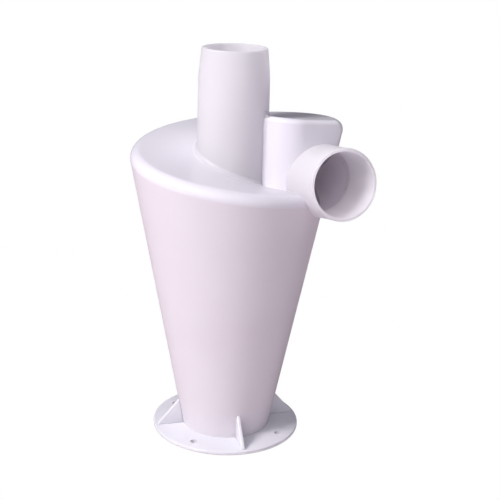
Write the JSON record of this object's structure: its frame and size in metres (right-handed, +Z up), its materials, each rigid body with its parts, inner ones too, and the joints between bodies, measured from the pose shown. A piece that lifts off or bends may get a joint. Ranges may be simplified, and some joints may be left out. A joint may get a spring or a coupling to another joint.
{
  "type": "small moulded cyclone separator",
  "caption": "Moulded white plastic cyclone with helical roof, sloping tangential inlet stub, axial outlet pipe, cone and ribbed bolt-down flange.",
  "frame": {"origin": "centre of the flange's underside, on the cyclone's axis", "axes": "+Z up along the cyclone's axis, inlet mouth facing -Y, inlet axis on the +X side"},
  "size_m": [0.1489, 0.152, 0.285],
  "materials": {
    "body_plastic": "glossy moulded white plastic with a faint lavender tint",
    "base_plastic": "glossy moulded white plastic"
  },
  "bodies": {
    "root": {"barrel_wall_back": "body_plastic", "barrel_wall_front": "body_plastic", "barrel_wall_inlet": "body_plastic", "barrel_wall_left": "body_plastic", "barrel_wall_right": "body_plastic", "base_flange": "base_plastic", "cone_lower": "body_plastic", "cone_upper": "body_plastic", "dust_outlet_collar": "body_plastic", "inlet_cheek": "body_plastic", "inlet_front_wall": "body_plastic", "inlet_root": "body_plastic", "inlet_stub": "body_plastic", "outlet_pipe": "body_plastic", "outlet_riser": "body_plastic", "outlet_spigot": "body_plastic", "rib_back": "base_plastic", "rib_front": "base_plastic", "rib_left": "base_plastic", "rib_right": "base_plastic", "roof_back": "body_plastic", "roof_front": "body_plastic", "roof_inlet": "body_plastic", "roof_left": "body_plastic", "roof_right": "body_plastic", "shoulder_back": "body_plastic", "shoulder_front": "body_plastic", "shoulder_inlet": "body_plastic", "shoulder_left": "body_plastic", "shoulder_right": "body_plastic", "step_wall": "body_plastic", "vortex_finder": "body_plastic"}
  },
  "joints": []
}
